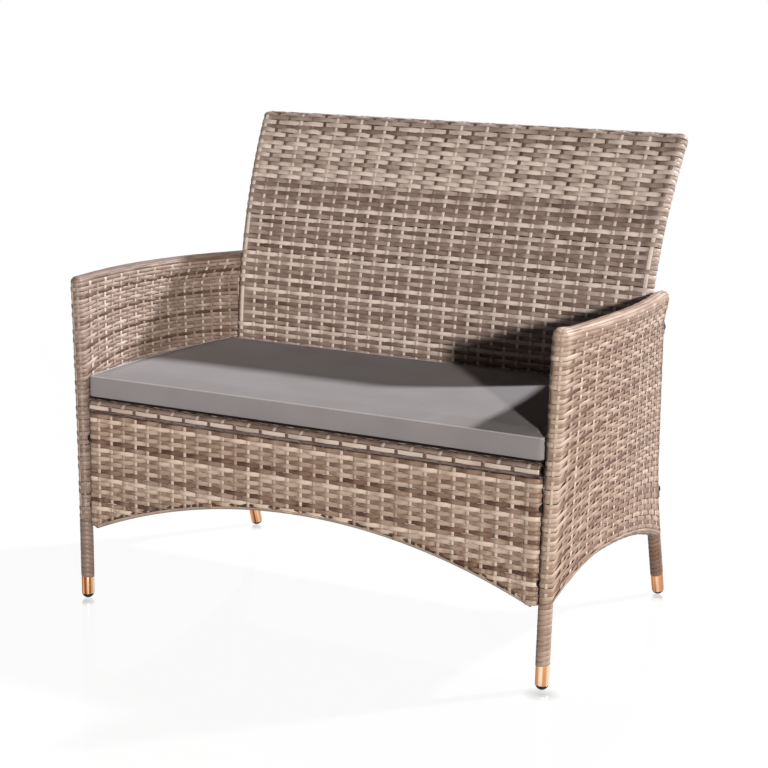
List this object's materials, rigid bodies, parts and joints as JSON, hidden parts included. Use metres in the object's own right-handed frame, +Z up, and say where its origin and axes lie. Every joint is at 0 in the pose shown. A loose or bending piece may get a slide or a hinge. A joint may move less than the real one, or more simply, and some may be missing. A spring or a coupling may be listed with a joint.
{
  "type": "garden sofa",
  "caption": "Garden sofa of woven plastic rattan over a bent steel tube frame, with arms, a curved back and a loose seat cushion.",
  "frame": {"origin": "on the floor, under the centre of the sofa's bounding box", "axes": "+X along the seat, +Y from the front edge of the seat to the back, +Z up from the floor"},
  "size_m": [0.98, 0.6206, 0.8505],
  "materials": {
    "weave": "flat extruded strands, taupe with brown and beige streaks, satin",
    "roll_weave": "the same strands wound round the front rail",
    "steel_tube": "brown powder coat",
    "copper_sleeve": "polished, copper coloured",
    "black_plastic": "moulded, satin",
    "black_bolt": "black",
    "cushion_fabric": "plain grey woven polyester",
    "cushion_foam": "open-cell foam"
  },
  "bodies": {
    "frame": {"left_arm_hoop_tube": "steel_tube", "left_rear_leg_tube": "steel_tube", "left_arm_arch_rail": "steel_tube", "left_arm_level_rail": "steel_tube", "left_arm_weave": "weave", "left_front_foot_sleeve": "copper_sleeve", "left_front_foot_glide": "black_plastic", "left_rear_foot_sleeve": "copper_sleeve", "left_rear_foot_glide": "black_plastic", "left_front_upper_bolt": "black_bolt", "left_front_lower_bolt": "black_bolt", "left_front_upper_spacer": "black_plastic", "left_front_lower_spacer": "black_plastic", "left_rear_upper_bolt": "black_bolt", "left_rear_lower_bolt": "black_bolt", "right_arm_hoop_tube": "steel_tube", "right_rear_leg_tube": "steel_tube", "right_arm_arch_rail": "steel_tube", "right_arm_level_rail": "steel_tube", "right_arm_weave": "weave", "right_front_foot_sleeve": "copper_sleeve", "right_front_foot_glide": "black_plastic", "right_rear_foot_sleeve": "copper_sleeve", "right_rear_foot_glide": "black_plastic", "right_front_upper_bolt": "black_bolt", "right_front_lower_bolt": "black_bolt", "right_front_upper_spacer": "black_plastic", "right_front_lower_spacer": "black_plastic", "right_rear_upper_bolt": "black_bolt", "right_rear_lower_bolt": "black_bolt", "back_hoop_tube": "steel_tube", "back_foot_rail": "steel_tube", "back_cross_rail": "steel_tube", "back_left_stile": "steel_tube", "back_right_stile": "steel_tube", "back_weave": "weave", "back_left_upper_lug": "black_bolt", "back_left_lower_lug": "black_bolt", "back_right_upper_lug": "black_bolt", "back_right_lower_lug": "black_bolt", "seat_front_rail": "steel_tube", "seat_front_roll": "roll_weave", "seat_rear_rail": "steel_tube", "seat_left_rail": "steel_tube", "seat_right_rail": "steel_tube", "seat_cross_bar_1": "steel_tube", "seat_cross_bar_2": "steel_tube", "seat_cross_bar_3": "steel_tube", "seat_deck_weave": "weave", "apron_hoop_tube": "steel_tube", "apron_weave": "weave", "seat_back_left_bolt": "black_bolt", "seat_back_right_bolt": "black_bolt"},
    "cushion": {"cushion_cover": "cushion_fabric", "cushion_foam": "cushion_foam"}
  },
  "joints": [
    {"name": "cushion_lift", "type": "slide", "parent": "frame", "child": "cushion", "axis": [0, 0, 1], "range_m": [0, 0.35]}
  ]
}
